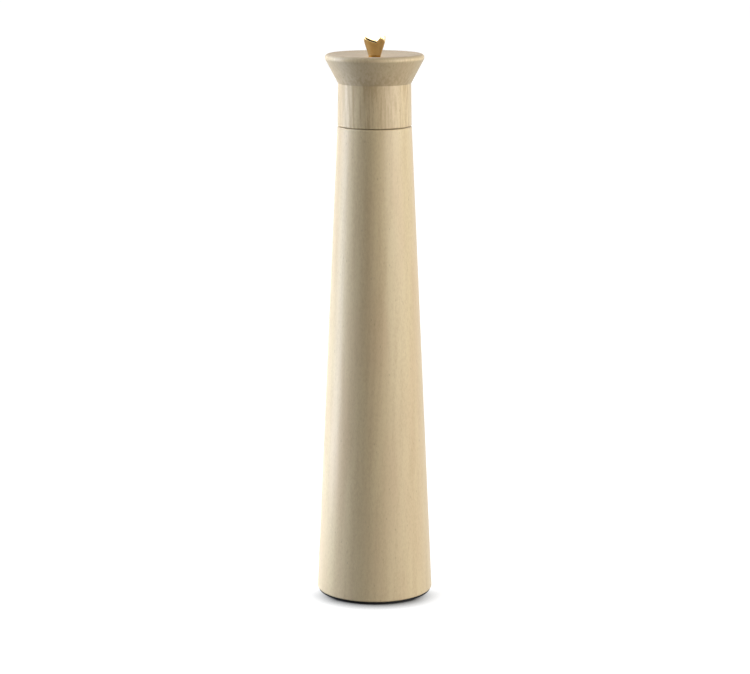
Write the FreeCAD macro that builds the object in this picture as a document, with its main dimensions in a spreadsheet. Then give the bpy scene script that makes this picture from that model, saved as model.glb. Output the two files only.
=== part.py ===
import FreeCAD, Part
import math
import os
import re

import Sketcher

# Driving dimensions of the pepper mill in millimetres, degrees and counts
SIZES = {
    # Wooden body
    "body_height": 251.8,
    "foot_radius": 31.1,
    "foot_chamfer": 0.5,
    "seam_radius": 19.6,
    "seam_chamfer": 0.4,
    "hopper_radius": 12.5,
    "hopper_chamfer": 0.8,
    # Wooden head
    "seam_gap": 0.3,
    "neck_length": 22.3,
    "neck_foot_radius": 19.5,
    "neck_top_radius": 19.2,
    "flare_height": 15.4,
    "flare_angle": 28.0,
    "rim_round": 2.0,
    "dish_depth": 2.0,
    "dish_round": 120.0,
    "spigot_length": 14.0,
    "spigot_chamfer": 0.6,
    # Brass knob and its washer
    "knob_height": 10.9,
    "knob_foot_radius": 3.1,
    "knob_foot_chamfer": 0.25,
    "knob_rim_radius": 6.75,
    "knob_side_round": 110.0,
    "knob_bore_depth": 8.0,
    "crown_lobes": 4,
    "crown_depth": 3.05,
    "crown_rise_angle": 22.0,
    "crown_land": 0.15,
    "crown_turn": 8.0,
    "washer_radius": 5.0,
    "washer_thickness": 0.8,
    "washer_margin": 0.6,
    # Square drive shaft
    "shaft_square": 5.0,
    "shaft_tail": 1.6,
    "shaft_end_chamfer": 0.8,
    "square_reach": 16.0,
    "square_travel": 3.0,
    "stud_radius": 2.0,
    "stud_reach": 7.4,
    "clip_groove_radius": 2.1,
    # Drive plate under the head and its screws
    "plate_radius": 10.8,
    "plate_thickness": 1.5,
    "plate_screw_circle": 7.6,
    "plate_screw_count": 3,
    "plate_screw_radius": 1.0,
    "plate_screw_length": 9.0,
    "plate_screw_head_radius": 1.9,
    "plate_screw_head_height": 1.2,
    "plate_screw_crown_radius": 1.3,
    "plate_screw_rim_height": 0.6,
    # Grinder housing and its screws
    "lip_thickness": 1.2,
    "lip_inset": 0.7,
    "lip_chamfer": 0.3,
    "flange_thickness": 3.4,
    "flange_margin": 1.2,
    "mouth_margin": 1.5,
    "mouth_straight": 3.0,
    "ledge_width": 2.0,
    "ring_seat": 10.0,
    "tube_wall": 1.9,
    "housing_screw_circle": 22.4,
    "housing_screw_count": 3,
    "housing_screw_radius": 1.4,
    "housing_screw_length": 12.0,
    "housing_screw_head_radius": 2.9,
    "housing_screw_head_height": 1.7,
    "housing_screw_sink": 0.25,
    # Grinding ring
    "ring_radius": 16.0,
    "ring_height": 20.0,
    "ring_wall": 2.4,
    "ring_mouth_depth": 5.0,
    "throat_land": 0.6,
    "ring_breaker_count": 10,
    "ring_breaker_depth": 1.4,
    "ring_breaker_twist": 24.0,
    "ring_tooth_count": 30,
    "ring_tooth_depth": 0.7,
    "ring_tooth_twist": 12.0,
    # Grinding cone
    "grind_gap": 0.45,
    "cone_overhang": 1.6,
    "cone_chamfer": 0.5,
    "fine_length": 5.5,
    "fine_top_radius": 10.8,
    "fine_angle": 20.0,
    "coarse_length": 5.8,
    "coarse_top_radius": 7.4,
    "coarse_foot_radius": 10.3,
    "cone_hub_radius": 5.7,
    "cone_hub_height": 0.8,
    "cone_breaker_count": 8,
    "cone_breaker_depth": 1.6,
    "cone_breaker_twist": 28.0,
    "cone_tooth_count": 28,
    "cone_tooth_depth": 0.7,
    "cone_tooth_twist": 12.0,
    "groove_run_out": 0.1,
    # Bridge, bush, spring, washer and clip on the shaft
    "bridge_thickness": 2.0,
    "bridge_width": 7.0,
    "bridge_inset": 0.6,
    "bridge_boss_radius": 7.0,
    "bush_wall": 1.0,
    "bush_flange_radius": 6.6,
    "bush_flange_thickness": 1.2,
    "bush_rise": 0.8,
    "spring_wire_radius": 0.45,
    "spring_coil_radius": 4.9,
    "spring_turns": 3.5,
    "cone_washer_radius": 6.5,
    "cone_washer_thickness": 1.0,
    "clip_radius": 4.6,
    "clip_thickness": 0.8,
    "clip_mouth": 3.4,
    # Clearances: running journals, sliding squares, seated pieces, faces that pass, head in body
    "running_clearance": 0.1,
    "sliding_clearance": 0.1,
    "seat_clearance": 0.1,
    "face_clearance": 0.1,
    "shaft_hole_clearance": 0.4,
    "stud_clearance": 0.25,
    "spigot_clearance": 0.3,
}

# How far cutting profiles stand clear of the surface that they cut
CUT_MARGIN = 0.8

# Share of the pitch that a groove takes, and the sideways lean of its root
GROOVE_SHARE = 0.92
GROOVE_LEAN = 0.5

# Turning sense of an arc in an outline, seen along the outline
LEFT = 1
RIGHT = -1

# Heights above the table, from the foot up
SEAM = "(lip_thickness + body_height)"
HEAD_FOOT = f"({SEAM} + seam_gap)"
FLARE_FOOT = f"({HEAD_FOOT} + neck_length)"
RIM = f"({FLARE_FOOT} + flare_height)"
DISH = f"({RIM} - dish_depth)"
WASHER_FOOT = f"({DISH} - washer_thickness)"
KNOB_FOOT = f"({DISH} + face_clearance)"
KNOB_TOP = f"({KNOB_FOOT} + knob_height)"
STUD_TOP = f"({KNOB_FOOT} + stud_reach)"
SQUARE_TOP = f"({SEAM} + square_reach)"
SPIGOT_END = f"({SEAM} - spigot_length)"
PLATE_FOOT = f"({SPIGOT_END} - plate_thickness)"
RING_TOP = "(ring_seat + ring_height)"
RING_MOUTH = f"({RING_TOP} - ring_mouth_depth)"
SOCKET_TOP = f"({RING_TOP} + seat_clearance)"
BRIDGE_FOOT = f"({RING_TOP} - bridge_thickness)"
BUSH_SHOULDER = f"({BRIDGE_FOOT} - face_clearance)"
BUSH_FOOT = f"({BUSH_SHOULDER} - bush_flange_thickness)"
CONE_FOOT = "(ring_seat - cone_overhang)"
FINE_TOP = f"({CONE_FOOT} + fine_length)"
THROAT = f"({FINE_TOP} + throat_land)"
COARSE_TOP = f"({FINE_TOP} + coarse_length)"
CONE_TOP = f"({COARSE_TOP} + cone_hub_height)"
CONE_WASHER_FOOT = f"({CONE_FOOT} - cone_washer_thickness)"
CLIP_FOOT = f"({CONE_WASHER_FOOT} - clip_thickness)"
SHAFT_FOOT = f"({CLIP_FOOT} - shaft_tail)"

# Radii that several pieces share
SHAFT_CORNER = "(shaft_square * sqrt(2) / 2)"
SHAFT_HOLE = f"({SHAFT_CORNER} + shaft_hole_clearance)"
STUD_HOLE = "(stud_radius + stud_clearance)"
SQUARE_HOLE = "(shaft_square / 2 + sliding_clearance)"
JOURNAL = f"({SQUARE_HOLE} * sqrt(2) + bush_wall)"
WASHER_SEAT = "(washer_radius + seat_clearance)"
RING_BORE = "(ring_radius - ring_wall)"
TUBE_BORE = "(ring_radius + seat_clearance)"
TUBE = f"({TUBE_BORE} + tube_wall)"
SOCKET = f"({TUBE} + seat_clearance)"
OUTLET = "(ring_radius - ledge_width)"
FLANGE = "(housing_screw_circle + housing_screw_head_radius + flange_margin)"
MOUTH = "(housing_screw_circle - housing_screw_head_radius - mouth_margin)"
FLANGE_SEAT = f"({FLANGE} + seat_clearance)"
FINE_FOOT = "(fine_top_radius + fine_length * tan(fine_angle))"
THROAT_BORE = "(fine_top_radius + grind_gap)"
RING_FOOT_BORE = f"({THROAT_BORE} + ({FINE_TOP} - ring_seat) * tan(fine_angle))"

doc = FreeCAD.newDocument("PepperMill")
sheet = doc.addObject("Spreadsheet::Sheet", "Sizes")


def fill_sheet():
    for row, (alias, number) in enumerate(SIZES.items(), start=1):
        sheet.set(f"A{row}", alias)
        sheet.set(f"B{row}", str(number))
        sheet.setAlias(f"B{row}", alias)
    doc.recompute()


def tied(text):
    """Text with each dimension's name pointing at its cell."""
    return re.sub(r"\b[a-z]+(_[a-z]+)+\b", r"Sizes.\g<0>", text)


def value(text):
    return float(sheet.evalExpression(tied(text)))


def new_body(label):
    body = doc.addObject("PartDesign::Body", label)
    body.Label = label
    return body


def origin_feature(body, role):
    return next(feature for feature in body.Origin.OriginFeatures if feature.Role == role)


def new_sketch(body, name, role, level=None, shift=None, turn=None):
    """A sketch on an origin plane, raised by level, moved sideways by shift and turned about its normal."""
    sketch = body.newObject("Sketcher::SketchObject", name)
    sketch.AttachmentSupport = [(origin_feature(body, role), "")]
    sketch.MapMode = "FlatFace"
    if turn:
        spin = FreeCAD.Rotation(FreeCAD.Vector(0, 0, 1), value(turn))
        sketch.AttachmentOffset = FreeCAD.Placement(FreeCAD.Vector(), spin)
        sketch.setExpression("AttachmentOffset.Rotation.Angle", tied(turn))
    if level:
        sketch.setExpression("AttachmentOffset.Base.z", tied(level))
    if shift:
        sketch.setExpression("AttachmentOffset.Base.x", tied(shift))
    return sketch


def tie_distance(sketch, kind, axis, edge, end, text):
    """Hold one end of an edge at a distance from the sketch's origin."""
    distance = value(text)
    if distance == 0:
        sketch.addConstraint(Sketcher.Constraint("PointOnObject", edge, end, axis))
        return
    if distance > 0:
        index = sketch.addConstraint(Sketcher.Constraint(kind, -1, 1, edge, end, distance))
        sketch.setExpression(f"Constraints[{index}]", tied(text))
        return
    index = sketch.addConstraint(Sketcher.Constraint(kind, edge, end, -1, 1, -distance))
    sketch.setExpression(f"Constraints[{index}]", tied(f"-({text})"))


def tie_point(sketch, edge, end, across, up):
    tie_distance(sketch, "DistanceX", -2, edge, end, across)
    tie_distance(sketch, "DistanceY", -1, edge, end, up)


def arc_between(start, finish, radius, sense):
    """Minor arc from start to finish that turns left or right."""
    chord = finish - start
    rise = math.sqrt(radius ** 2 - (chord.Length / 2) ** 2)
    side = FreeCAD.Vector(-chord.y, chord.x, 0).normalize()
    centre = (start + finish) * 0.5 + side * (rise * sense)
    first, last = (start, finish) if sense == LEFT else (finish, start)
    first_angle = math.atan2(first.y - centre.y, first.x - centre.x)
    last_angle = math.atan2(last.y - centre.y, last.x - centre.x)
    return Part.ArcOfCircle(Part.Circle(centre, FreeCAD.Vector(0, 0, 1), radius), first_angle, last_angle)


def add_outline(sketch, corners):
    """Closed outline of lines, and of arcs into the corners that give a radius and a turning sense."""
    points = [FreeCAD.Vector(value(corner[0]), value(corner[1]), 0) for corner in corners]
    edges = []
    for place, corner in enumerate(corners):
        start, finish = points[place - 1], points[place]
        if len(corner) == 2:
            edge = sketch.addGeometry(Part.LineSegment(start, finish))
            edges.append((edge, 1, 2))
            continue
        radius, sense = corner[2:]
        edge = sketch.addGeometry(arc_between(start, finish, value(radius), sense))
        edges.append((edge, 1, 2) if sense == LEFT else (edge, 2, 1))
        index = sketch.addConstraint(Sketcher.Constraint("Radius", edge, value(radius)))
        sketch.setExpression(f"Constraints[{index}]", tied(radius))
    for place, corner in enumerate(corners):
        edge, _, finish_end = edges[place]
        next_edge, start_end, _ = edges[(place + 1) % len(edges)]
        sketch.addConstraint(Sketcher.Constraint("Coincident", edge, finish_end, next_edge, start_end))
        tie_point(sketch, edge, finish_end, corner[0], corner[1])


def add_box(sketch, left, right, low, high):
    add_outline(sketch, [(left, low), (right, low), (right, high), (left, high)])


def add_square(sketch, half):
    add_box(sketch, f"-{half}", half, f"-{half}", half)


def add_circle(sketch, radius, across="0"):
    centre = FreeCAD.Vector(value(across), 0, 0)
    ring = sketch.addGeometry(Part.Circle(centre, FreeCAD.Vector(0, 0, 1), value(radius)))
    tie_point(sketch, ring, 3, across, "0")
    index = sketch.addConstraint(Sketcher.Constraint("Radius", ring, value(radius)))
    sketch.setExpression(f"Constraints[{index}]", tied(radius))


def turn_solid(body, name, corners, shift=None):
    """Solid of revolution about the vertical axis, or about a parallel axis at the shift."""
    sketch = new_sketch(body, f"{name}_outline", "XZ_Plane", shift=shift)
    add_outline(sketch, corners)
    solid = body.newObject("PartDesign::Revolution", name)
    solid.Profile = sketch
    solid.ReferenceAxis = (sketch, ["V_Axis"])
    solid.Angle = 360
    doc.recompute()
    return solid


def confirm_cut(body, cut, volume):
    doc.recompute()
    if not cut.Shape.Volume < volume:
        raise RuntimeError(f"{cut.Name} of {body.Label} takes nothing away")
    return cut


def turn_groove(body, name, corners, shift=None):
    volume = body.Shape.Volume
    sketch = new_sketch(body, f"{name}_outline", "XZ_Plane", shift=shift)
    add_outline(sketch, corners)
    groove = body.newObject("PartDesign::Groove", name)
    groove.Profile = sketch
    groove.ReferenceAxis = (sketch, ["V_Axis"])
    groove.Angle = 360
    return confirm_cut(body, groove, volume)


def pad(body, sketch, name, length):
    solid = body.newObject("PartDesign::Pad", name)
    solid.Profile = sketch
    solid.setExpression("Length", tied(length))
    doc.recompute()
    return solid


def cut_through(body, sketch, name):
    volume = body.Shape.Volume
    pocket = body.newObject("PartDesign::Pocket", name)
    pocket.Profile = sketch
    pocket.Type = "ThroughAll"
    pocket.SideType = "Symmetric"
    return confirm_cut(body, pocket, volume)


def cut_slot(body, sketch, name, width):
    """Slot of the given width, centred on the sketch's plane."""
    volume = body.Shape.Volume
    pocket = body.newObject("PartDesign::Pocket", name)
    pocket.Profile = sketch
    pocket.SideType = "Symmetric"
    pocket.setExpression("Length", tied(width))
    return confirm_cut(body, pocket, volume)


def repeat_around(body, feature, count):
    pattern = body.newObject("PartDesign::PolarPattern", f"{feature.Name}_around")
    pattern.Originals = [feature]
    pattern.Axis = (origin_feature(body, "Z_Axis"), [""])
    pattern.Angle = 360
    pattern.setExpression("Occurrences", tied(count))
    body.Tip = pattern
    doc.recompute()
    return pattern


def groove_section(body, name, count, level, root, mouth, turn):
    """Leaning V section of a tooth groove, root on one side of the toothed surface, mouth on the other."""
    half = f"({mouth} * tan(180 / {count}) * {GROOVE_SHARE})"
    sketch = new_sketch(body, name, "XY_Plane", level=level, turn=turn)
    add_outline(sketch, [(root, f"{half} * {GROOVE_LEAN}"), (mouth, half), (mouth, f"-{half}")])
    return sketch


def cut_teeth(body, name, count, upper, lower):
    """Slanted grooves around a toothed face. Each end gives level, root radius, mouth radius and turn."""
    volume = body.Shape.Volume
    sections = [
        groove_section(body, f"{name}_upper", count, *upper),
        groove_section(body, f"{name}_lower", count, *lower),
    ]
    groove = body.newObject("PartDesign::SubtractiveLoft", name)
    groove.Profile = sections[0]
    groove.Sections = sections[1:]
    groove.Ruled = True
    confirm_cut(body, groove, volume)
    return repeat_around(body, groove, count)


def drill_square(body, name):
    sketch = new_sketch(body, f"{name}_outline", "XY_Plane")
    add_square(sketch, SQUARE_HOLE)
    return cut_through(body, sketch, name)


def make_mill_body():
    body = new_body("mill_body")
    turn_solid(body, "turned_cone", [
        (FLANGE_SEAT, "lip_thickness"),
        ("foot_radius - foot_chamfer", "lip_thickness"),
        ("foot_radius", "lip_thickness + foot_chamfer"),
        ("seam_radius", f"{SEAM} - seam_chamfer"),
        ("seam_radius - seam_chamfer", SEAM),
        ("hopper_radius + hopper_chamfer", SEAM),
        ("hopper_radius", f"{SEAM} - hopper_chamfer"),
        ("hopper_radius", SOCKET_TOP),
        (SOCKET, SOCKET_TOP),
        (SOCKET, "flange_thickness + seat_clearance"),
        (FLANGE_SEAT, "flange_thickness + seat_clearance"),
    ])
    pilot_top = "housing_screw_sink + housing_screw_length + seat_clearance"
    pilot = turn_groove(body, "screw_pilot", [
        ("0", "flange_thickness"),
        ("housing_screw_radius + seat_clearance", "flange_thickness"),
        ("housing_screw_radius + seat_clearance", pilot_top),
        ("0", pilot_top),
    ], shift="housing_screw_circle")
    repeat_around(body, pilot, "housing_screw_count")
    return body


def make_head():
    body = new_body("head")
    flare_corner = "(neck_top_radius + flare_height * tan(flare_angle))"
    round_reach = "(rim_round / tan(45 - flare_angle / 2))"
    hole_top = f"({SQUARE_TOP} + square_travel)"
    turn_solid(body, "turned_head", [
        (SHAFT_HOLE, SPIGOT_END),
        ("hopper_radius - spigot_clearance - spigot_chamfer", SPIGOT_END),
        ("hopper_radius - spigot_clearance", f"{SPIGOT_END} + spigot_chamfer"),
        ("hopper_radius - spigot_clearance", HEAD_FOOT),
        ("neck_foot_radius - seam_chamfer", HEAD_FOOT),
        ("neck_foot_radius", f"{HEAD_FOOT} + seam_chamfer"),
        ("neck_top_radius", FLARE_FOOT),
        (f"{flare_corner} - {round_reach} * sin(flare_angle)", f"{RIM} - {round_reach} * cos(flare_angle)"),
        (f"{flare_corner} - {round_reach}", RIM, "rim_round", LEFT),
        ("washer_radius + washer_margin", DISH, "dish_round", RIGHT),
        (WASHER_SEAT, DISH),
        (WASHER_SEAT, WASHER_FOOT),
        (STUD_HOLE, WASHER_FOOT),
        (STUD_HOLE, hole_top),
        (SHAFT_HOLE, hole_top),
    ])
    pilot_top = f"({PLATE_FOOT} + plate_screw_length + seat_clearance)"
    pilot = turn_groove(body, "screw_pilot", [
        ("0", SPIGOT_END),
        ("plate_screw_radius + seat_clearance", SPIGOT_END),
        ("plate_screw_radius + seat_clearance", pilot_top),
        ("0", pilot_top),
    ], shift="plate_screw_circle")
    repeat_around(body, pilot, "plate_screw_count")
    return body


def polar(radius, degrees, height):
    angle = math.radians(degrees)
    return FreeCAD.Vector(radius * math.cos(angle), radius * math.sin(angle), height)


def make_crown_form():
    """Swirled roof over the knob: long falling ramps and short steep rises that meet at one apex."""
    lobes = round(value("crown_lobes"))
    step = 360 / lobes
    reach = value("knob_rim_radius") + CUT_MARGIN
    peak = value(KNOB_TOP) + value("crown_land")
    valley = peak - value("crown_depth") * reach / value("knob_rim_radius")
    floor = value(KNOB_FOOT) - CUT_MARGIN
    front = -90 + value("crown_turn")
    rim = []
    for lobe in range(lobes):
        rim.append(polar(reach, front + lobe * step, valley))
        rim.append(polar(reach, front + lobe * step + value("crown_rise_angle"), peak))
    foot = [FreeCAD.Vector(point.x, point.y, floor) for point in rim]
    apex = FreeCAD.Vector(0, 0, peak)
    loops = [foot]
    for place, point in enumerate(rim):
        loops.append([apex, rim[place - 1], point])
        loops.append([rim[place - 1], foot[place - 1], foot[place], point])
    faces = [Part.Face(Part.makePolygon(loop + loop[:1])) for loop in loops]
    form = doc.addObject("Part::Feature", "crown_form")
    form.Shape = Part.Solid(Part.Shell(faces))
    return form


def make_adjusting_knob():
    blank = new_body("knob_blank")
    bore = "(stud_radius + running_clearance)"
    bore_top = f"({KNOB_FOOT} + knob_bore_depth)"
    turn_solid(blank, "turned_knob", [
        (bore, KNOB_FOOT),
        ("knob_foot_radius - knob_foot_chamfer", KNOB_FOOT),
        ("knob_foot_radius", f"{KNOB_FOOT} + knob_foot_chamfer"),
        ("knob_rim_radius", KNOB_TOP, "knob_side_round", RIGHT),
        ("0", KNOB_TOP),
        ("0", bore_top),
        (bore, bore_top),
    ])
    knob = doc.addObject("Part::Common", "adjusting_knob")
    knob.Base = blank
    knob.Tool = make_crown_form()
    doc.recompute()
    return knob


def make_knob_washer():
    body = new_body("knob_washer")
    turn_solid(body, "ring", [
        (STUD_HOLE, WASHER_FOOT),
        ("washer_radius", WASHER_FOOT),
        ("washer_radius", DISH),
        (STUD_HOLE, DISH),
    ])
    return body


def make_drive_shaft():
    """Square bar whose ends are turned down: a chamfered tail, the clip's groove and the stud."""
    body = new_body("drive_shaft")
    square = new_sketch(body, "bar_outline", "XY_Plane", level=SHAFT_FOOT)
    add_square(square, "(shaft_square / 2)")
    pad(body, square, "bar", f"{STUD_TOP} - {SHAFT_FOOT}")
    clear = f"({SHAFT_CORNER} + {CUT_MARGIN})"
    turn_groove(body, "stud", [
        ("stud_radius", SQUARE_TOP),
        (clear, f"{SQUARE_TOP} - {clear} + stud_radius"),
        (clear, f"{STUD_TOP} + {CUT_MARGIN}"),
        (f"stud_radius - {CUT_MARGIN}", f"{STUD_TOP} + {CUT_MARGIN}"),
        (f"stud_radius - {CUT_MARGIN}", STUD_TOP),
        ("stud_radius", f"{STUD_TOP} - {CUT_MARGIN}"),
    ])
    turn_groove(body, "clip_groove", [
        ("clip_groove_radius", CLIP_FOOT),
        (clear, CLIP_FOOT),
        (clear, CONE_WASHER_FOOT),
        ("clip_groove_radius", CONE_WASHER_FOOT),
    ])
    turn_groove(body, "tail_chamfer", [
        (f"{SHAFT_CORNER} - shaft_end_chamfer", SHAFT_FOOT),
        (f"{SHAFT_CORNER} - shaft_end_chamfer", f"{SHAFT_FOOT} - {CUT_MARGIN}"),
        (clear, f"{SHAFT_FOOT} - {CUT_MARGIN}"),
        (clear, f"{SHAFT_FOOT} + shaft_end_chamfer + {CUT_MARGIN}"),
    ])
    return body


def make_drive_plate():
    body = new_body("drive_plate")
    turn_solid(body, "disc", [
        ("0", PLATE_FOOT),
        ("plate_radius", PLATE_FOOT),
        ("plate_radius", SPIGOT_END),
        ("0", SPIGOT_END),
    ])
    drill_square(body, "square_hole")
    holes = new_sketch(body, "screw_hole_outline", "XY_Plane")
    add_circle(holes, "plate_screw_radius + seat_clearance", across="plate_screw_circle")
    hole = cut_through(body, holes, "screw_hole")
    repeat_around(body, hole, "plate_screw_count")
    return body


def make_drive_plate_screws():
    body = new_body("drive_plate_screws")
    head_foot = f"({PLATE_FOOT} - plate_screw_head_height)"
    screw = turn_solid(body, "pan_head_screw", [
        ("0", head_foot),
        ("plate_screw_crown_radius", head_foot),
        ("plate_screw_head_radius", f"{PLATE_FOOT} - plate_screw_rim_height"),
        ("plate_screw_head_radius", PLATE_FOOT),
        ("plate_screw_radius", PLATE_FOOT),
        ("plate_screw_radius", f"{PLATE_FOOT} + plate_screw_length - plate_screw_radius"),
        ("0", f"{PLATE_FOOT} + plate_screw_length"),
    ], shift="plate_screw_circle")
    repeat_around(body, screw, "plate_screw_count")
    return body


def make_grinder_housing():
    """Black moulding: lip under the wooden foot, let-in flange, flared outlet and the tube for the ring."""
    body = new_body("grinder_housing")
    lip = "(foot_radius - lip_inset)"
    turn_solid(body, "moulding", [
        (MOUTH, "0"),
        (f"{lip} - lip_chamfer", "0"),
        (lip, "lip_chamfer"),
        (lip, "lip_thickness"),
        (FLANGE, "lip_thickness"),
        (FLANGE, "flange_thickness"),
        (TUBE, "flange_thickness"),
        (TUBE, RING_TOP),
        (TUBE_BORE, RING_TOP),
        (TUBE_BORE, "ring_seat"),
        (OUTLET, "ring_seat"),
        (OUTLET, "ring_seat - mouth_straight"),
    ])
    slot = new_sketch(body, "bridge_slot_outline", "XZ_Plane")
    reach = f"({TUBE} + {CUT_MARGIN})"
    add_box(slot, f"-{reach}", reach, BRIDGE_FOOT, f"{RING_TOP} + {CUT_MARGIN}")
    cut_slot(body, slot, "bridge_slot", "bridge_width + 2 * seat_clearance")
    sink = "housing_screw_sink"
    cone_top = f"({sink} + housing_screw_head_height)"
    hole = turn_groove(body, "countersunk_hole", [
        ("0", "0"),
        ("housing_screw_head_radius + seat_clearance", "0"),
        ("housing_screw_head_radius + seat_clearance", sink),
        ("housing_screw_radius + seat_clearance", cone_top),
        ("housing_screw_radius + seat_clearance", "flange_thickness"),
        ("0", "flange_thickness"),
    ], shift="housing_screw_circle")
    repeat_around(body, hole, "housing_screw_count")
    return body


def make_housing_screws():
    body = new_body("housing_screws")
    sink = "housing_screw_sink"
    tip = f"({sink} + housing_screw_length)"
    screw = turn_solid(body, "countersunk_screw", [
        ("0", sink),
        ("housing_screw_head_radius", sink),
        ("housing_screw_radius", f"{sink} + housing_screw_head_height"),
        ("housing_screw_radius", f"{tip} - 2 * housing_screw_radius"),
        ("0", tip),
    ], shift="housing_screw_circle")
    repeat_around(body, screw, "housing_screw_count")
    return body


def make_grinding_ring():
    body = new_body("grinding_ring")
    turn_solid(body, "ring_blank", [
        (RING_FOOT_BORE, "ring_seat"),
        ("ring_radius", "ring_seat"),
        ("ring_radius", RING_TOP),
        (RING_BORE, RING_TOP),
        (RING_BORE, RING_MOUTH),
        (THROAT_BORE, THROAT),
        (THROAT_BORE, FINE_TOP),
    ])
    notch = new_sketch(body, "bridge_notch_outline", "XZ_Plane")
    reach = f"(ring_radius + {CUT_MARGIN})"
    add_box(notch, f"-{reach}", reach, BRIDGE_FOOT, f"{RING_TOP} + {CUT_MARGIN}")
    cut_slot(body, notch, "bridge_notch", "bridge_width + 2 * seat_clearance")
    throat_root = f"({THROAT_BORE} + groove_run_out)"
    throat_mouth = f"({THROAT_BORE} - {CUT_MARGIN})"
    foot_root = f"({RING_FOOT_BORE} + ring_tooth_depth)"
    foot_mouth = f"({RING_FOOT_BORE} - {CUT_MARGIN})"
    cut_teeth(
        body, "breakers", "ring_breaker_count",
        (RING_MOUTH, f"({RING_BORE} + ring_breaker_depth)", f"({RING_BORE} - {CUT_MARGIN})", None),
        (THROAT, throat_root, throat_mouth, "-ring_breaker_twist"),
    )
    cut_teeth(
        body, "teeth", "ring_tooth_count",
        (THROAT, throat_root, throat_mouth, None),
        ("ring_seat", foot_root, foot_mouth, "-ring_tooth_twist"),
    )
    return body


def make_grinding_cone():
    body = new_body("grinding_cone")
    turn_solid(body, "cone_blank", [
        ("0", CONE_FOOT),
        (f"{FINE_FOOT} - 2 * cone_chamfer * tan(fine_angle) - cone_chamfer", CONE_FOOT),
        (f"{FINE_FOOT} - cone_chamfer * tan(fine_angle)", f"{CONE_FOOT} + cone_chamfer"),
        ("fine_top_radius", FINE_TOP),
        ("coarse_foot_radius", FINE_TOP),
        ("coarse_top_radius", COARSE_TOP),
        ("cone_hub_radius", COARSE_TOP),
        ("cone_hub_radius", CONE_TOP),
        ("0", CONE_TOP),
    ])
    coarse_roots = ["(coarse_top_radius - cone_breaker_depth)", "(coarse_foot_radius - cone_breaker_depth)"]
    coarse_mouths = [f"(coarse_top_radius + {CUT_MARGIN})", f"(coarse_foot_radius + {CUT_MARGIN})"]
    cut_teeth(
        body, "breakers", "cone_breaker_count",
        (COARSE_TOP, coarse_roots[0], coarse_mouths[0], None),
        (FINE_TOP, coarse_roots[1], coarse_mouths[1], "cone_breaker_twist"),
    )
    fine_roots = ["(fine_top_radius - cone_tooth_depth)", f"({FINE_FOOT} - cone_tooth_depth)"]
    fine_mouths = [f"(fine_top_radius + {CUT_MARGIN})", f"({FINE_FOOT} + {CUT_MARGIN})"]
    cut_teeth(
        body, "teeth", "cone_tooth_count",
        (FINE_TOP, fine_roots[0], fine_mouths[0], None),
        (CONE_FOOT, fine_roots[1], fine_mouths[1], "cone_tooth_twist"),
    )
    drill_square(body, "square_hole")
    return body


def make_shaft_bridge():
    body = new_body("shaft_bridge")
    bar = new_sketch(body, "bar_outline", "XY_Plane", level=BRIDGE_FOOT)
    half_length = f"({TUBE} - bridge_inset)"
    add_box(bar, f"-{half_length}", half_length, "-bridge_width / 2", "bridge_width / 2")
    pad(body, bar, "bar", "bridge_thickness")
    boss = new_sketch(body, "boss_outline", "XY_Plane", level=BRIDGE_FOOT)
    add_circle(boss, "bridge_boss_radius")
    pad(body, boss, "boss", "bridge_thickness")
    hole = new_sketch(body, "bearing_hole_outline", "XY_Plane")
    add_circle(hole, f"{JOURNAL} + running_clearance")
    cut_through(body, hole, "bearing_hole")
    return body


def make_shaft_bush():
    body = new_body("shaft_bush")
    turn_solid(body, "flanged_bush", [
        ("0", BUSH_FOOT),
        ("bush_flange_radius", BUSH_FOOT),
        ("bush_flange_radius", BUSH_SHOULDER),
        (JOURNAL, BUSH_SHOULDER),
        (JOURNAL, f"{RING_TOP} + bush_rise"),
        ("0", f"{RING_TOP} + bush_rise"),
    ])
    drill_square(body, "square_bore")
    return body


def arc_from_tangent(start, corner, finish):
    """Arc between two points whose tangents meet at the corner, at equal distances from both."""
    middle = (start + finish) * 0.5
    tangent = (corner - start).Length
    height = (middle - corner).Length
    radius = tangent * (finish - start).Length / 2 / height
    crest = corner + (middle - corner) * ((math.sqrt(tangent ** 2 + radius ** 2) - radius) / height)
    return Part.Arc(start, crest, finish).toShape()


def biarc(start, start_way, finish, finish_way):
    """Two arcs that leave start and reach finish along the given unit directions."""
    span = finish - start
    ways = start_way + finish_way
    lead = 2 - 2 * start_way.dot(finish_way)
    along = span.dot(ways)
    reach = (math.sqrt(along ** 2 + lead * span.dot(span)) - along) / lead
    first_corner = start + start_way * reach
    last_corner = finish - finish_way * reach
    joint = (first_corner + last_corner) * 0.5
    return [arc_from_tangent(start, first_corner, joint), arc_from_tangent(joint, last_corner, finish)]


def make_pressure_spring():
    """One wound wire between the bush's flange and the cone's hub, in quarter turns."""
    wire = value("spring_wire_radius")
    coil = value("spring_coil_radius")
    bottom = value(f"{CONE_TOP} + face_clearance") + wire
    rise = value(BUSH_FOOT) - wire - bottom
    quarters = round(4 * value("spring_turns"))
    climb = rise / (quarters * math.pi / 2)
    points, ways = [], []
    for quarter in range(quarters + 1):
        angle = quarter * math.pi / 2
        points.append(FreeCAD.Vector(coil * math.cos(angle), coil * math.sin(angle), bottom + climb * angle))
        ways.append(FreeCAD.Vector(-coil * math.sin(angle), coil * math.cos(angle), climb).normalize())
    edges = []
    for quarter in range(quarters):
        edges += biarc(points[quarter], ways[quarter], points[quarter + 1], ways[quarter + 1])
    section = Part.Wire(Part.makeCircle(wire, points[0], ways[0]))
    spring = doc.addObject("Part::Feature", "pressure_spring")
    spring.Shape = Part.Wire(edges).makePipeShell([section], True, False)
    print("spring: gap between turns", round(rise / value("spring_turns") - 2 * wire, 3))
    return spring


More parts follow.
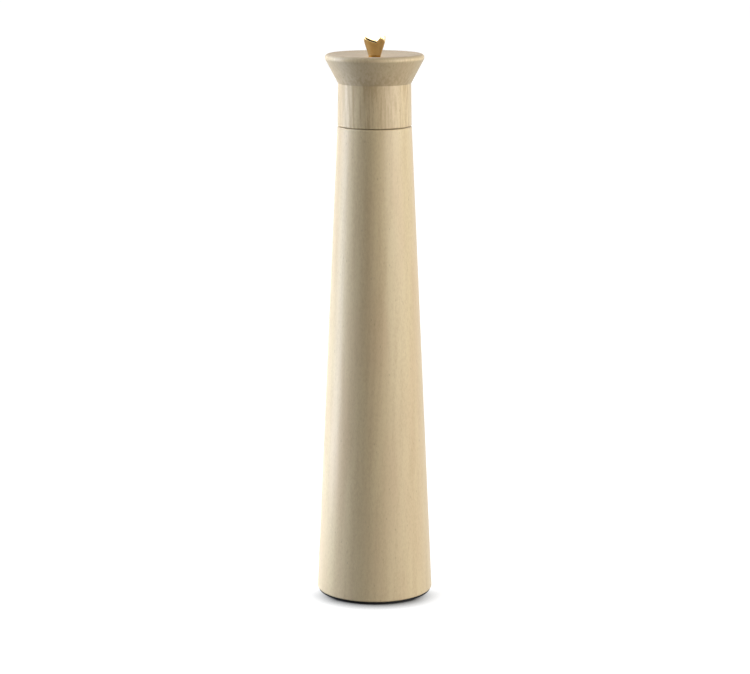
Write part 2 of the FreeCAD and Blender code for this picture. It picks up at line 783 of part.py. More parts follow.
def make_cone_washer():
    body = new_body("cone_washer")
    hole = f"({SHAFT_CORNER} + sliding_clearance)"
    turn_solid(body, "ring", [
        (hole, CONE_WASHER_FOOT),
        ("cone_washer_radius", CONE_WASHER_FOOT),
        ("cone_washer_radius", CONE_FOOT),
        (hole, CONE_FOOT),
    ])
    return body


def make_shaft_clip():
    body = new_body("shaft_clip")
    turn_solid(body, "ring", [
        ("clip_groove_radius", CLIP_FOOT),
        ("clip_radius", CLIP_FOOT),
        ("clip_radius", CONE_WASHER_FOOT),
        ("clip_groove_radius", CONE_WASHER_FOOT),
    ])
    mouth = new_sketch(body, "mouth_outline", "XY_Plane")
    add_box(mouth, "0", f"clip_radius + {CUT_MARGIN}", "-clip_mouth / 2", "clip_mouth / 2")
    cut_through(body, mouth, "mouth")
    return body


def write_parts(pieces):
    doc.recompute()
    for item in doc.Objects:
        if "Invalid" in item.State or "Error" in item.State:
            raise RuntimeError(f"{item.Label} failed: {item.State}")
    for piece in pieces:
        if piece.Shape.isNull() or not piece.Shape.isValid():
            raise RuntimeError(f"{piece.Label} has no valid shape")
    os.makedirs("parts", exist_ok=True)
    for piece in pieces:
        piece.Shape.exportStep(f"parts/{piece.Label}.step")
        print(piece.Label, "solids", len(piece.Shape.Solids), "volume", round(piece.Shape.Volume, 2))


fill_sheet()
write_parts([
    make_mill_body(),
    make_head(),
    make_adjusting_knob(),
    make_knob_washer(),
    make_drive_shaft(),
    make_drive_plate(),
    make_drive_plate_screws(),
    make_grinder_housing(),
    make_housing_screws(),
    make_grinding_ring(),
    make_grinding_cone(),
    make_shaft_bridge(),
    make_shaft_bush(),
    make_pressure_spring(),
    make_cone_washer(),
    make_shaft_clip(),
])
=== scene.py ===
import math

import bmesh
import bpy
from mathutils import Matrix, Vector


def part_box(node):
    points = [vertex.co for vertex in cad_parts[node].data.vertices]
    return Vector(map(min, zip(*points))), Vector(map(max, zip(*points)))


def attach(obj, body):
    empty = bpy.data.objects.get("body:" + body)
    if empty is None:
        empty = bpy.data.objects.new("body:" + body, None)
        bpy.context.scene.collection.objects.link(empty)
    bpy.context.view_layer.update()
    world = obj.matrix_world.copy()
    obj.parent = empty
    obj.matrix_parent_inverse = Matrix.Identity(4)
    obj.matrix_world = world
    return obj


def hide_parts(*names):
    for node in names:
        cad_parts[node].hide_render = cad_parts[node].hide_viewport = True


MM = 0.001

# Camera of the photograph and direction of its viewer, in metres, degrees and millimetres of lens
CAMERA_PLACE = (0.0002, -1.2269, 0.3878)
CAMERA_PITCH = -11.43
CAMERA_LENS = 112.12
CAMERA_SENSOR = 36.0
CAMERA_CLIP = (0.05, 100.0)
FRONT_ANGLE = -90.0

# Swirled knob, in millimetres and degrees
KNOB_FOOT_RADIUS = 3.1
KNOB_FOOT_CHAMFER = 0.25
KNOB_RIM_RADIUS = 6.75
KNOB_SIDE_ROUND = 110.0
KNOB_BORE_RADIUS = 2.1
KNOB_BORE_DEPTH = 8.0
KNOB_EDGE_ROUND = 1.05
CROWN_LOBES = 4
CROWN_DEPTH = 3.05
CROWN_RISE_ANGLE = 22.0
CROWN_TURN = 8.0
CROWN_LAND = 0.15
CROWN_CREASE = 1.2
KNOB_COLUMN_STEP = 3.0
KNOB_CROWN_RINGS = 12
KNOB_EDGE_RINGS = 5
KNOB_SIDE_RINGS = 12
KNOB_RIM_HALVINGS = 40

# Threaded stud and screw recesses, in millimetres
STUD_RADIUS = 2.0
STUD_ROOT = 1.62
STUD_FOOT = 269.05
STUD_PITCH = 0.7
STUD_CREST_GAIN = 1.15
STUD_LEAD_IN = 0.15
STUD_TIP_RADIUS = 0.2
STUD_COLUMNS = 24
STUD_ROWS_PER_TURN = 6
HOUSING_SCREW_CIRCLE = 22.4
HOUSING_SCREW_FACE = 0.25
PLATE_SCREW_CIRCLE = 7.6
SCREW_COUNT = 3
CROSS_CORNERS = 12
RECESS_OVERCUT = 0.2
RECESS_END_REACH = 0.5
RECESS_END_WIDTH = 0.7

# Colours as linear red, green, blue
WOOD_PALE = (0.72, 0.592, 0.375)
WOOD_ROSY = (0.69, 0.54, 0.345)
WOOD_STREAK = (0.57, 0.435, 0.255)
WOOD_FLECK = (0.26, 0.17, 0.09)
# End-grain colour, also used as painted shade on surfaces that face down
WOOD_END_AND_SHADE = (0.285, 0.213, 0.13)
BRASS = (0.88, 0.66, 0.33)
BRASS_DEEP = (0.78, 0.55, 0.25)
# Very dark brass for the washer: painted shade under the knob, which also dims the washer's glints
BRASS_PAINTED_SHADE = (0.30, 0.19, 0.07)
BRIGHT_STEEL = (0.44, 0.44, 0.45)
ZINC = (0.52, 0.53, 0.56)
DARK_STEEL = (0.27, 0.27, 0.28)
BLACK_PLASTIC = (0.012, 0.012, 0.013)
WHITE_PLASTIC = (0.78, 0.75, 0.67)
FLOOR_COLOUR = (0.11, 0.11, 0.108)
WARM_LIGHT = (1.0, 0.975, 0.92)
COOL_LIGHT = (0.80, 0.87, 1.0)
PLAIN_LIGHT = (1.0, 0.98, 0.95)
ROOM_COLOUR = (0.015, 0.015, 0.015)

# Wood: scales are per metre, and ranges are spread onto tones, strengths or roughness
NOISE_RANGE = (0.3, 0.7)
RING_SCALE = 95.0
RING_DISTORTION = 5.0
RING_DETAIL_SCALE = 0.25
RING_SHARE = 0.25
PATCH_SCALE = (75, 75, 11)
PATCH_RANGE = (0.42, 0.66)
STREAK_RANGE = (0.42, 0.70)
FIBRE_SCALE = (1500, 1500, 40)
FIBRE_TONES = (-0.05, 0.09)
FIBRE_ROUGHNESS = (0.32, 0.42)
MOTTLE_SCALE = (1300, 1300, 520)
MOTTLE_TONES = (-0.36, 0.44)
FLECK_SCALE = (620, 620, 230)
FLECK_SIZE = (0.08, 0.20)
FLECK_CHANCE = (0.80, 0.99)
FLECK_STRENGTH = (0.10, 0.42)
END_GRAIN_UP = (0.16, 0.97)
# Surfaces facing down take part of the end-grain colour: painted shade, and in part end grain cut across the
# fibres
DOWNWARD_SHADE_AND_GRAIN = (-0.16, -0.47)
DOWNWARD_SHADE_AND_GRAIN_SHARE = 0.33
END_GRAIN_ROUGHNESS = 0.3
CALM_WIDTH = 3.0
CALM_SHARE = 0.35
STREAK_FULL_TONE = 1.2
WOOD_RELIEF = 0.10
WOOD_RELIEF_DEPTH = 0.05
WOOD_IOR = 1.48

# Metal and plastic: scales per metre, shares of the roughness, depths in millimetres
METAL_TONE_SCALE = (160, 160, 160)
METAL_TONE_RANGE = (0.35, 0.7)
METAL_ROUGHNESS = (0.75, 1.3)
METAL_RELIEF_DEPTH = 0.01
CLOUD_SCALE = (220, 220, 220)
PEBBLE_SCALE = (2600, 2600, 2600)
PEBBLE_RELIEF = 0.25
PEBBLE_DEPTH = 0.03
PLASTIC_ROUGHNESS = (0.85, 1.15)
PLASTIC_SPECULAR = 0.25

# Floor and dark room, in metres and degrees
FLOOR_REACH = 20.0
STAGE_ROUGHNESS = 0.9
FLOOR_SPECULAR = 0.1
SHADOW_DISTANCE = 0.014
SHADOW_SAMPLES = 16
SHADOW_FRONT = (-0.1, -0.75)
SHADOW_FADE = (0.10, 0.15)
SHADOW_RANGE = (0.52, 0.97)
ROOM_RADIUS = 2.2
ROOM_HALF_ANGLE = 62.0
ROOM_HIGHEST_ANGLE = 108.0
ROOM_COLUMNS = 24
ROOM_ROWS = 16

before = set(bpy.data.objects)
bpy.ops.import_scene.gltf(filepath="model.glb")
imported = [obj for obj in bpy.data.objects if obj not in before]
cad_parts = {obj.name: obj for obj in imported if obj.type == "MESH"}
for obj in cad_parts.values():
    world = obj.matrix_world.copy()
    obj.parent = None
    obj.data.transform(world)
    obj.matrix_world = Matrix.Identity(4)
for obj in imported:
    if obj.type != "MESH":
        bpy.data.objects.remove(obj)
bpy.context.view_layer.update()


def add_node(tree, kind, inputs=(), **settings):
    """A shader node whose inputs take numbers, colours or other nodes' outputs."""
    node = tree.nodes.new(kind)
    for name, setting in settings.items():
        setattr(node, name, setting)
    for socket, source in dict(inputs).items():
        if isinstance(source, bpy.types.NodeSocket):
            tree.links.new(source, node.inputs[socket])
        else:
            node.inputs[socket].default_value = source
    return node


def colour(rgb):
    return (*rgb, 1.0)


def add_object(name, data):
    """A new object in the scene."""
    thing = bpy.data.objects.new(name, data)
    bpy.context.scene.collection.objects.link(thing)
    return thing


def new_material(name):
    material = bpy.data.materials.new(name)
    material.use_nodes = True
    tree = material.node_tree
    return material, tree, tree.nodes["Principled BSDF"]


def stretched(tree, scale, place=(0, 0, 0), turn=(0, 0, 0)):
    """The object's own coordinates, scaled per metre, moved and turned in degrees."""
    coordinates = add_node(tree, "ShaderNodeTexCoord")
    angles = tuple(math.radians(angle) for angle in turn)
    inputs = {"Vector": coordinates.outputs["Object"], "Location": place, "Rotation": angles, "Scale": scale}
    return add_node(tree, "ShaderNodeMapping", inputs).outputs["Vector"]


def noise(tree, vector, detail=3.0, roughness=0.55):
    inputs = {"Vector": vector, "Scale": 1.0, "Detail": detail, "Roughness": roughness}
    return add_node(tree, "ShaderNodeTexNoise", inputs).outputs["Fac"]


def ramp(tree, factor, low, high, start=0.0, end=1.0):
    """The factor spread from low to high onto start to end, and held outside."""
    inputs = {"Value": factor, "From Min": low, "From Max": high, "To Min": start, "To Max": end}
    return add_node(tree, "ShaderNodeMapRange", inputs, clamp=True).outputs["Result"]


def mix_colour(tree, factor, first, second):
    node = add_node(tree, "ShaderNodeMix", data_type="RGBA")
    for socket, source in ((node.inputs[0], factor), (node.inputs[6], first), (node.inputs[7], second)):
        if isinstance(source, bpy.types.NodeSocket):
            tree.links.new(source, socket)
        else:
            socket.default_value = source
    return node.outputs[2]


def math_node(tree, operation, first, second):
    return add_node(tree, "ShaderNodeMath", {0: first, 1: second}, operation=operation).outputs[0]


def axis_distance(tree):
    """Distance of a place from the mill's axis, in metres."""
    spot = add_node(tree, "ShaderNodeTexCoord").outputs["Object"]
    flat = add_node(
        tree, "ShaderNodeVectorMath", {0: spot, 1: (1, 1, 0)}, operation="MULTIPLY").outputs["Vector"]
    return add_node(tree, "ShaderNodeVectorMath", {0: flat}, operation="LENGTH").outputs["Value"]


def bump(tree, height, strength, distance):
    inputs = {"Height": height, "Strength": strength, "Distance": distance}
    return add_node(tree, "ShaderNodeBump", inputs).outputs["Normal"]


def wood_material(
        name, pith, ring_lean, strand_lean, strand_scale, streak_strength, calm_radius, end_and_shade_strength):
    """Satin beech: faint growth rings, soft streaks, rosy patches, fine mottling, sparse dark flecks, darker
    end grain and painted shade on surfaces facing down.
    """
    material, tree, shader = new_material(name)
    rings = add_node(
        tree, "ShaderNodeTexWave",
        {"Vector": stretched(tree, (1, 1, 1), pith, ring_lean), "Scale": RING_SCALE,
         "Distortion": RING_DISTORTION, "Detail": 2.0, "Detail Scale": RING_DETAIL_SCALE},
        wave_type="RINGS", rings_direction="Z",
    ).outputs["Fac"]
    patches = noise(tree, stretched(tree, PATCH_SCALE, pith), detail=2.0)
    leaning = stretched(tree, (1, 1, 1), turn=strand_lean)
    along_grain = add_node(
        tree, "ShaderNodeMapping", {"Vector": leaning, "Location": pith, "Scale": strand_scale})
    strands = noise(tree, along_grain.outputs["Vector"], detail=1.5)
    fibres = noise(tree, stretched(tree, FIBRE_SCALE, pith), detail=4.0)
    mottle = noise(tree, stretched(tree, MOTTLE_SCALE, pith), detail=3.0, roughness=0.6)
    cells = add_node(
        tree, "ShaderNodeTexVoronoi",
        {"Vector": stretched(tree, FLECK_SCALE, pith), "Scale": 1.0, "Randomness": 1.0},
    ).outputs
    near = ramp(tree, cells["Distance"], *FLECK_SIZE, 1.0, 0.0)
    chance = add_node(tree, "ShaderNodeSeparateColor", {"Color": cells["Color"]}).outputs["Red"]
    flecks = math_node(tree, "MULTIPLY", near, ramp(tree, chance, *FLECK_CHANCE, *FLECK_STRENGTH))
    normal = add_node(tree, "ShaderNodeTexCoord").outputs["Normal"]
    facing = add_node(tree, "ShaderNodeSeparateXYZ", {0: normal}).outputs["Z"]
    upward = ramp(tree, facing, *END_GRAIN_UP)
    # Painted shade: surfaces facing down darken towards the end-grain colour, partly also as end grain
    shade_and_grain_below = ramp(tree, facing, *DOWNWARD_SHADE_AND_GRAIN, 0.0, DOWNWARD_SHADE_AND_GRAIN_SHARE)
    end_grain_and_shade = math_node(tree, "MULTIPLY", math_node(tree, "ADD", upward, shade_and_grain_below), end_and_shade_strength)
    calm = ramp(tree, axis_distance(tree), calm_radius * MM, (calm_radius + CALM_WIDTH) * MM,
                streak_strength, CALM_SHARE * streak_strength)
    streaks = math_node(tree, "MULTIPLY", ramp(tree, strands, *STREAK_RANGE), calm)
    ring_tone = math_node(tree, "MULTIPLY", rings, math_node(tree, "MULTIPLY", calm, RING_SHARE))
    tone = math_node(tree, "ADD", streaks, ring_tone)
    hairs = ramp(tree, fibres, *NOISE_RANGE, *FIBRE_TONES)
    fine = math_node(tree, "ADD", hairs, ramp(tree, mottle, *NOISE_RANGE, *MOTTLE_TONES))
    shade = math_node(tree, "ADD", tone, fine)
    ground = mix_colour(tree, ramp(tree, patches, *PATCH_RANGE), colour(WOOD_PALE), colour(WOOD_ROSY))
    grain = mix_colour(tree, ramp(tree, shade, 0.0, STREAK_FULL_TONE), ground, colour(WOOD_STREAK))
    soaked_and_shaded = mix_colour(tree, end_grain_and_shade, grain, colour(WOOD_END_AND_SHADE))
    tree.links.new(mix_colour(tree, flecks, soaked_and_shaded, colour(WOOD_FLECK)), shader.inputs["Base Color"])
    satin = ramp(tree, fibres, *NOISE_RANGE, *FIBRE_ROUGHNESS)
    dull = math_node(tree, "MULTIPLY", end_grain_and_shade, END_GRAIN_ROUGHNESS)
    tree.links.new(math_node(tree, "ADD", satin, dull), shader.inputs["Roughness"])
    relief = math_node(tree, "SUBTRACT", fibres, flecks)
    tree.links.new(bump(tree, relief, WOOD_RELIEF, WOOD_RELIEF_DEPTH * MM), shader.inputs["Normal"])
    shader.inputs["IOR"].default_value = WOOD_IOR
    return material


def metal_material(name, pale, deep, roughness, line_scale, relief):
    """Bare metal with fine tool lines across the given direction and a slow change of tone."""
    material, tree, shader = new_material(name)
    lines = noise(tree, stretched(tree, line_scale), detail=3.0)
    tone = noise(tree, stretched(tree, METAL_TONE_SCALE), detail=4.0)
    body = mix_colour(tree, ramp(tree, tone, *METAL_TONE_RANGE), colour(pale), colour(deep))
    tree.links.new(body, shader.inputs["Base Color"])
    smooth, rough = (roughness * share for share in METAL_ROUGHNESS)
    tree.links.new(ramp(tree, lines, *NOISE_RANGE, smooth, rough), shader.inputs["Roughness"])
    tree.links.new(bump(tree, lines, relief, METAL_RELIEF_DEPTH * MM), shader.inputs["Normal"])
    shader.inputs["Metallic"].default_value = 1.0
    return material


def plastic_material(name, rgb, lift, roughness):
    """Moulded plastic: a fine pebbled skin with faint cloudy changes of tone and gloss."""
    material, tree, shader = new_material(name)
    cloud = noise(tree, stretched(tree, CLOUD_SCALE), detail=3.0)
    pebbles = noise(tree, stretched(tree, PEBBLE_SCALE), detail=2.0)
    lighter = tuple(min(1.0, channel * lift) for channel in rgb)
    body = mix_colour(tree, ramp(tree, cloud, *NOISE_RANGE), colour(rgb), colour(lighter))
    tree.links.new(body, shader.inputs["Base Color"])
    smooth, rough = (roughness * share for share in PLASTIC_ROUGHNESS)
    tree.links.new(ramp(tree, cloud, *NOISE_RANGE, smooth, rough), shader.inputs["Roughness"])
    tree.links.new(bump(tree, pebbles, PEBBLE_RELIEF, PEBBLE_DEPTH * MM), shader.inputs["Normal"])
    shader.inputs["Specular IOR Level"].default_value = PLASTIC_SPECULAR
    return material


def dress(node, material):
    """Give a node of the frame one material all over."""
    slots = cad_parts[node].data.materials
    slots.clear()
    slots.append(material)


def add_piece(name, mesh, node, body, material):
    """A finer piece that takes a node's place and rides on the node's body."""
    mesh.materials.clear()
    mesh.materials.append(material)
    piece = add_object(name, mesh)
    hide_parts(node)
    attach(piece, body)


def crown_height(radius, angle, top):
    """Height of the swirled crown at a radius and an angle: planar ramps that meet at one apex."""
    step = 360.0 / CROWN_LOBES
    local = (angle - (FRONT_ANGLE + CROWN_TURN)) % step
    peak = top + CROWN_LAND
    valley_fall = CROWN_DEPTH * radius / KNOB_RIM_RADIUS
    if local < CROWN_RISE_ANGLE:
        share = math.sin(math.radians(CROWN_RISE_ANGLE - local)) / math.sin(math.radians(CROWN_RISE_ANGLE))
    else:
        ramp_angle = step - CROWN_RISE_ANGLE
        share = math.sin(math.radians(local - CROWN_RISE_ANGLE)) / math.sin(math.radians(ramp_angle))
    return min(top, peak - valley_fall * share)


def knob_side_radius(height, foot, top):
    """Radius of the knob's slightly hollow side at a height."""
    low = Vector((KNOB_FOOT_RADIUS, foot + KNOB_FOOT_CHAMFER))
    high = Vector((KNOB_RIM_RADIUS, top))
    chord = high - low
    middle = (low + high) / 2
    outward = Vector((chord.y, -chord.x)).normalized()
    centre = middle + outward * math.sqrt(KNOB_SIDE_ROUND ** 2 - (chord.length / 2) ** 2)
    return centre.x - math.sqrt(KNOB_SIDE_ROUND ** 2 - (height - centre.y) ** 2)


def knob_rim(angle, foot, top):
    """Where the crown meets the side in one direction, as radius and height."""
    low, high = 0.0, KNOB_RIM_RADIUS
    for _ in range(KNOB_RIM_HALVINGS):
        radius = (low + high) / 2
        if radius < knob_side_radius(crown_height(radius, angle, top), foot, top):
            low = radius
        else:
            high = radius
    return low, crown_height(low, angle, top)


def knob_column(angle, foot, top):
    """The knob's section in one direction: crown, rounded rim, side, foot and bore."""
    rim_radius, rim_height = knob_rim(angle, foot, top)
    inner = rim_radius - KNOB_EDGE_ROUND
    lower = rim_height - KNOB_EDGE_ROUND
    points = []
    for ring in range(1, KNOB_CROWN_RINGS + 1):
        radius = inner * ring / KNOB_CROWN_RINGS
        points.append((radius, crown_height(radius, angle, top)))
    first = Vector(points[-1])
    corner = Vector((rim_radius, rim_height))
    last = Vector((knob_side_radius(lower, foot, top), lower))
    for ring in range(1, KNOB_EDGE_RINGS + 1):
        share = ring / KNOB_EDGE_RINGS
        points.append(tuple(first.lerp(corner, share).lerp(corner.lerp(last, share), share)))
    side_foot = foot + KNOB_FOOT_CHAMFER
    for ring in range(1, KNOB_SIDE_RINGS + 1):
        height = lower + (side_foot - lower) * ring / KNOB_SIDE_RINGS
        points.append((knob_side_radius(height, foot, top), height))
    points.append((KNOB_FOOT_RADIUS - KNOB_FOOT_CHAMFER, foot))
    points.append((KNOB_BORE_RADIUS, foot))
    points.append((KNOB_BORE_RADIUS, foot + KNOB_BORE_DEPTH))
    return points


def crown_angles():
    """Directions of the knob's columns: an even spread, and a close pair beside each crease."""
    step = 360.0 / CROWN_LOBES
    angles = []
    for lobe in range(CROWN_LOBES):
        valley = FRONT_ANGLE + CROWN_TURN + lobe * step
        peak = valley + CROWN_RISE_ANGLE
        for start, span in ((valley, CROWN_RISE_ANGLE), (peak, step - CROWN_RISE_ANGLE)):
            inner = span - 2 * CROWN_CREASE
            count = max(2, round(inner / KNOB_COLUMN_STEP))
            angles += [start + CROWN_CREASE + inner * place / count for place in range(count + 1)]
    return angles


def make_knob(material):
    """Polished knob with a swirled crown, rounded rim, hollow side and blind bore."""
    low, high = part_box("adjusting_knob")
    foot, top = low.z / MM, high.z / MM
    angles = crown_angles()
    columns = [knob_column(angle, foot, top) for angle in angles]
    rows = len(columns[0])
    vertices = []
    for angle, column in zip(angles, columns):
        turn = math.radians(angle)
        vertices += [(r * math.cos(turn) * MM, r * math.sin(turn) * MM, z * MM) for r, z in column]
    apex = len(vertices)
    vertices.append((0.0, 0.0, top * MM))
    bore_end = len(vertices)
    vertices.append((0.0, 0.0, (foot + KNOB_BORE_DEPTH) * MM))
    faces = []
    for place in range(len(columns)):
        this, following = place * rows, (place + 1) % len(columns) * rows
        faces.append((apex, this, following))
        for row in range(rows - 1):
            faces.append((this + row, this + row + 1, following + row + 1, following + row))
        faces.append((this + rows - 1, bore_end, following + rows - 1))
    mesh = bpy.data.meshes.new("brass_knob")
    mesh.from_pydata(vertices, [], faces)
    mesh.validate()
    mesh.polygons.foreach_set("use_smooth", [True] * len(mesh.polygons))
    add_piece("brass_knob", mesh, "adjusting_knob", "knob", material)


def cut_crosses(name, node, body, circle, face, depth, arm, width, material):
    """A node's three screws with a tapered cross recess sunk into each head from below."""
    vertices, faces = [], []
    for place in range(SCREW_COUNT):
        turn = math.radians(360.0 / SCREW_COUNT * place)
        middle = Vector((circle * math.cos(turn), circle * math.sin(turn)))
        first = len(vertices)
        mouth = (face - RECESS_OVERCUT, arm, width)
        end = (face + depth, arm * RECESS_END_REACH, width * RECESS_END_WIDTH)
        for height, reach, half in (mouth, end):
            quarter = [(half, half), (half, reach), (-half, reach)]
            for side in range(4):
                for across, along in quarter:
                    swing = Matrix.Rotation(math.radians(90.0 * side) + turn, 2)
                    spot = swing @ Vector((across, along)) + middle
                    vertices.append((spot.x * MM, spot.y * MM, height * MM))
        second = first + CROSS_CORNERS
        faces.append(tuple(second - 1 - corner for corner in range(CROSS_CORNERS)))
        faces.append(tuple(second + corner for corner in range(CROSS_CORNERS)))
        for corner in range(CROSS_CORNERS):
            following = (corner + 1) % CROSS_CORNERS
            faces.append((first + corner, first + following, second + following, second + corner))
    cutter_mesh = bpy.data.meshes.new("cutter")
    cutter_mesh.from_pydata(vertices, [], faces)
    cutter = add_object("cutter", cutter_mesh)
    blank = add_object("blank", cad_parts[node].data.copy())
    difference = blank.modifiers.new("recess", "BOOLEAN")
    difference.operation = "DIFFERENCE"
    difference.object = cutter
    difference.solver = "EXACT"
    mesh = bpy.data.meshes.new_from_object(blank.evaluated_get(bpy.context.evaluated_depsgraph_get()))
    for piece in (cutter, blank):
        bpy.data.objects.remove(piece, do_unlink=True)
    add_piece(name, mesh, node, body, material)


def make_shaft(material):
    """The shaft with a cut thread in place of its plain stud."""
    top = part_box("drive_shaft")[1].z / MM
    shape = bmesh.new()
    shape.from_mesh(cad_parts["drive_shaft"].data)
    everything = shape.verts[:] + shape.edges[:] + shape.faces[:]
    bmesh.ops.bisect_plane(
        shape, geom=everything, plane_co=(0, 0, STUD_FOOT * MM), plane_no=(0, 0, 1), clear_outer=True)
    rows = round((top - STUD_FOOT) / STUD_PITCH * STUD_ROWS_PER_TURN)
    rings = []
    for row in range(rows + 1):
        height = STUD_FOOT + (top - STUD_FOOT) * row / rows
        lead_in = STUD_ROOT + (top - height) - STUD_LEAD_IN
        ring = []
        for column in range(STUD_COLUMNS):
            turn = column / STUD_COLUMNS
            flank = abs(((height - STUD_FOOT) / STUD_PITCH - turn) % 1.0 * 2.0 - 1.0)
            radius = STUD_ROOT + (STUD_RADIUS - STUD_ROOT) * min(1.0, STUD_CREST_GAIN * flank)
            radius = STUD_RADIUS if row == 0 else max(STUD_TIP_RADIUS, min(radius, lead_in))
            angle = 2.0 * math.pi * turn
            across, along = radius * math.cos(angle), radius * math.sin(angle)
            ring.append(shape.verts.new((across * MM, along * MM, height * MM)))
        rings.append(ring)
    for low, high in zip(rings, rings[1:]):
        for column in range(STUD_COLUMNS):
            following = (column + 1) % STUD_COLUMNS
            shape.faces.new((low[column], low[following], high[following], high[column]))
    shape.faces.new(rings[-1])
    mesh = bpy.data.meshes.new("threaded_shaft")
    shape.to_mesh(mesh)
    shape.free()
    add_piece("threaded_shaft", mesh, "drive_shaft", "spindle", material)


def make_floor():
    """Wide floor that is white to the camera, with a contact shadow in front of the foot."""
    reach = FLOOR_REACH
    corners = [(-reach, -reach, 0), (reach, -reach, 0), (reach, reach, 0), (-reach, reach, 0)]
    mesh = bpy.data.meshes.new("floor")
    mesh.from_pydata(corners, [], [(0, 1, 2, 3)])
    material, tree, shader = new_material("floor_paper")
    shader.inputs["Base Color"].default_value = colour(FLOOR_COLOUR)
    shader.inputs["Roughness"].default_value = STAGE_ROUGHNESS
    shader.inputs["Specular IOR Level"].default_value = FLOOR_SPECULAR
    near = add_node(
        tree, "ShaderNodeAmbientOcclusion", {"Distance": SHADOW_DISTANCE}, samples=SHADOW_SAMPLES,
    ).outputs["AO"]
    spot = add_node(tree, "ShaderNodeTexCoord").outputs["Object"]
    outward = add_node(tree, "ShaderNodeVectorMath", {0: spot}, operation="NORMALIZE").outputs["Vector"]
    along = add_node(tree, "ShaderNodeSeparateXYZ", {0: outward}).outputs["Y"]
    front = ramp(tree, along, *SHADOW_FRONT)
    fade = ramp(tree, axis_distance(tree), *SHADOW_FADE, 1.0, 0.0)
    beside_foot = math_node(tree, "MULTIPLY", front, fade)
    shadow = math_node(tree, "MULTIPLY", beside_foot, ramp(tree, near, *SHADOW_RANGE, 1.0, 0.0))
    glow = math_node(tree, "MULTIPLY", seen_rays(tree), math_node(tree, "SUBTRACT", 1.0, shadow))
    tree.links.new(glow, shader.inputs["Emission Strength"])
    shader.inputs["Emission Color"].default_value = (1, 1, 1, 1)
    mesh.materials.append(material)
    floor = add_object("floor", mesh)


def seen_rays(tree):
    """One where a ray comes from the camera, a mirror or a glass, and nothing elsewhere."""
    path = add_node(tree, "ShaderNodeLightPath").outputs
    bright = math_node(tree, "MAXIMUM", path["Is Glossy Ray"], path["Is Transmission Ray"])
    return math_node(tree, "MAXIMUM", path["Is Camera Ray"], bright)


def make_world(ambient):
    world = bpy.data.worlds.new("studio")
    bpy.context.scene.world = world
    world.use_nodes = True
    tree = world.node_tree
    background = tree.nodes["Background"]
    background.inputs["Color"].default_value = (1, 1, 1, 1)
    strength = ramp(tree, seen_rays(tree), 0.0, 1.0, ambient, 1.0)
    tree.links.new(strength, background.inputs["Strength"])


def add_softbox(name, place, aim, size, power, tint):
    """Rectangular soft light at a place, facing a point."""
    light = bpy.data.lights.new(name, "AREA")
    light.color = tint
    light.shape = "RECTANGLE"
    light.size, light.size_y = size
    light.energy = power
    lamp = add_object(name, light)
    lamp.location = place
    lamp.rotation_euler = (Vector(aim) - Vector(place)).to_track_quat("-Z", "Y").to_euler()
    return lamp


def make_dark_dome():
    """Dark room above and behind the camera, which only reflections and soft light see."""
    vertices, faces = [], []
    for row in range(ROOM_ROWS + 1):
        lift = math.radians(ROOM_HIGHEST_ANGLE * row / ROOM_ROWS)
        flat, height = ROOM_RADIUS * math.cos(lift), ROOM_RADIUS * math.sin(lift)
        for column in range(ROOM_COLUMNS + 1):
            swing = 2 * ROOM_HALF_ANGLE * column / ROOM_COLUMNS
            angle = math.radians(FRONT_ANGLE - ROOM_HALF_ANGLE + swing)
            vertices.append((flat * math.cos(angle), flat * math.sin(angle), height))
    for row in range(ROOM_ROWS):
        for column in range(ROOM_COLUMNS):
            first = row * (ROOM_COLUMNS + 1) + column
            above = first + ROOM_COLUMNS + 1
            faces.append((first, first + 1, above + 1, above))
    mesh = bpy.data.meshes.new("dark_room")
    mesh.from_pydata(vertices, [], faces)
    material, _, shader = new_material("dark_room")
    shader.inputs["Base Color"].default_value = colour(ROOM_COLOUR)
    shader.inputs["Roughness"].default_value = STAGE_ROUGHNESS
    mesh.materials.append(material)
    dome = add_object("dark_room", mesh)
    dome.visible_camera = False


def make_camera():
    data = bpy.data.cameras.new("camera")
    data.lens = CAMERA_LENS
    data.sensor_width = CAMERA_SENSOR
    data.clip_start, data.clip_end = CAMERA_CLIP
    camera = add_object("camera", data)
    camera.location = CAMERA_PLACE
    camera.rotation_euler = (math.radians(90.0 + CAMERA_PITCH), 0.0, 0.0)
    bpy.context.scene.camera = camera


bpy.context.scene.view_settings.view_transform = "Standard"

body_wood = wood_material(
    "body_wood", pith=(0.062, 0.018, 0.0), ring_lean=(1.2, 0.8, 0.0), strand_lean=(2.0, -2.5, 0.0),
    strand_scale=(300, 300, 16), streak_strength=0.36, calm_radius=40.0, end_and_shade_strength=0.2)
# The head's end-grain strength also sets the painted shade on its downward-facing flare
head_wood = wood_material(
    "head_wood", pith=(-0.048, 0.031, 0.11), ring_lean=(-4.0, 4.0, 40.0), strand_lean=(5.0, 2.0, 40.0),
    strand_scale=(760, 760, 24), streak_strength=1.5, calm_radius=20.5, end_and_shade_strength=0.9)
brass = metal_material(
    "polished_brass", BRASS, BRASS_DEEP, roughness=0.09, line_scale=(300, 300, 5200), relief=0.05)
# The washer's brass is painted dark as painted shade in the dish under the knob, and made rough
shade_dark_brass = metal_material(
    "shade_dark_brass", BRASS_PAINTED_SHADE, BRASS_PAINTED_SHADE, roughness=0.7, line_scale=(900, 900, 900), relief=0.2)
bright_steel = metal_material(
    "bright_steel", BRIGHT_STEEL, ZINC, roughness=0.28, line_scale=(3800, 3800, 90), relief=0.2)
zinc_steel = metal_material(
    "zinc_steel", ZINC, BRIGHT_STEEL, roughness=0.32, line_scale=(1400, 1400, 1400), relief=0.15)
dark_steel = metal_material(
    "hardened_steel", DARK_STEEL, BRIGHT_STEEL, roughness=0.38, line_scale=(900, 900, 2200), relief=0.25)
black_plastic = plastic_material("black_plastic", BLACK_PLASTIC, lift=1.5, roughness=0.5)
white_plastic = plastic_material("white_plastic", WHITE_PLASTIC, lift=1.06, roughness=0.4)

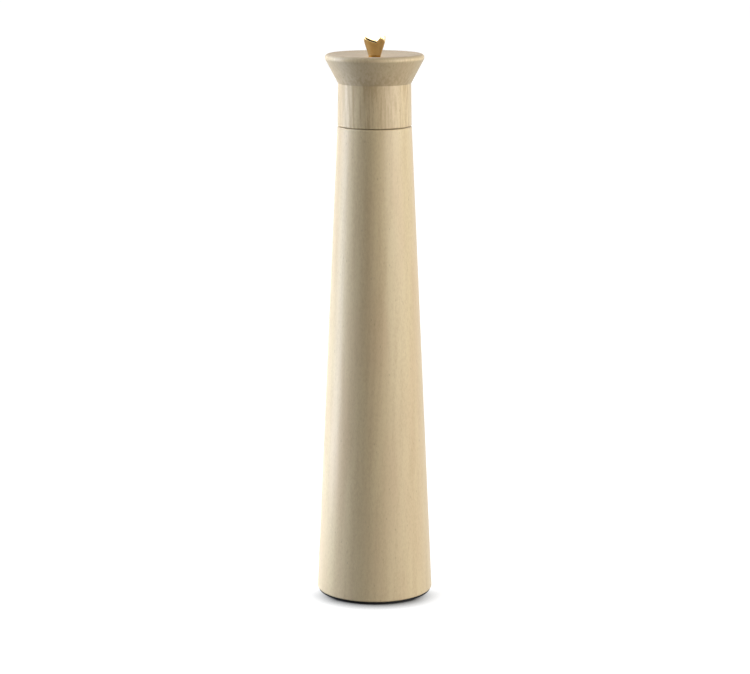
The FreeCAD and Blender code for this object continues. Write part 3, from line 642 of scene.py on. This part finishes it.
dress("mill_body", body_wood)
dress("head", head_wood)
# Washer in painted shade: darkened brass
dress("knob_washer", shade_dark_brass)
dress("grinder_housing", black_plastic)
dress("shaft_bush", white_plastic)
for node in ("drive_shaft", "drive_plate", "shaft_bridge", "pressure_spring"):
    dress(node, bright_steel)
for node in ("drive_plate_screws", "housing_screws", "cone_washer"):
    dress(node, zinc_steel)
for node in ("grinding_ring", "grinding_cone", "shaft_clip"):
    dress(node, dark_steel)
dress("adjusting_knob", brass)
make_knob(brass)
make_shaft(bright_steel)
cut_crosses("cross_housing_screws", "housing_screws", "base", HOUSING_SCREW_CIRCLE,
            HOUSING_SCREW_FACE, depth=1.15, arm=1.55, width=0.34, material=zinc_steel)
cut_crosses("cross_plate_screws", "drive_plate_screws", "top", PLATE_SCREW_CIRCLE,
            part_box("drive_plate_screws")[0].z / MM, depth=0.8, arm=1.0, width=0.24, material=zinc_steel)

make_floor()
make_dark_dome()
make_world(ambient=0.06)
add_softbox(
    "left_strip", place=(-1.09, 0.20, 0.85), aim=(0, 0, 0.2), size=(0.45, 1.2),
    power=10.2, tint=COOL_LIGHT)
add_softbox(
    "left_card", place=(-0.30, 0.04, 0.46), aim=(0, 0, 0.46), size=(0.125, 0.9),
    power=1.86, tint=COOL_LIGHT)
left_low = add_softbox(
    "left_low", place=(-0.20, 0.045, 0.04), aim=(0, 0, 0.04), size=(0.08, 0.08),
    power=0.22, tint=COOL_LIGHT)
left_low.visible_glossy = False
add_softbox(
    "right_box", place=(1.62, -0.94, 0.50), aim=(0, 0, 0.12), size=(1.9, 1.9),
    power=53.5, tint=WARM_LIGHT)
add_softbox(
    "back_box", place=(-0.10, 1.14, 1.20), aim=(0, 0, 0.3), size=(1.2, 0.8),
    power=10.0, tint=PLAIN_LIGHT)
add_softbox(
    "rim_card", place=(-0.81, 0.71, 0.83), aim=(0, 0, 0.29), size=(0.4, 0.4),
    power=2.9, tint=PLAIN_LIGHT)
add_softbox(
    "crown_card", place=(0.60, -0.06, 1.10), aim=(0, 0, 0.295), size=(0.45, 0.45),
    power=2.15, tint=PLAIN_LIGHT)
make_camera()
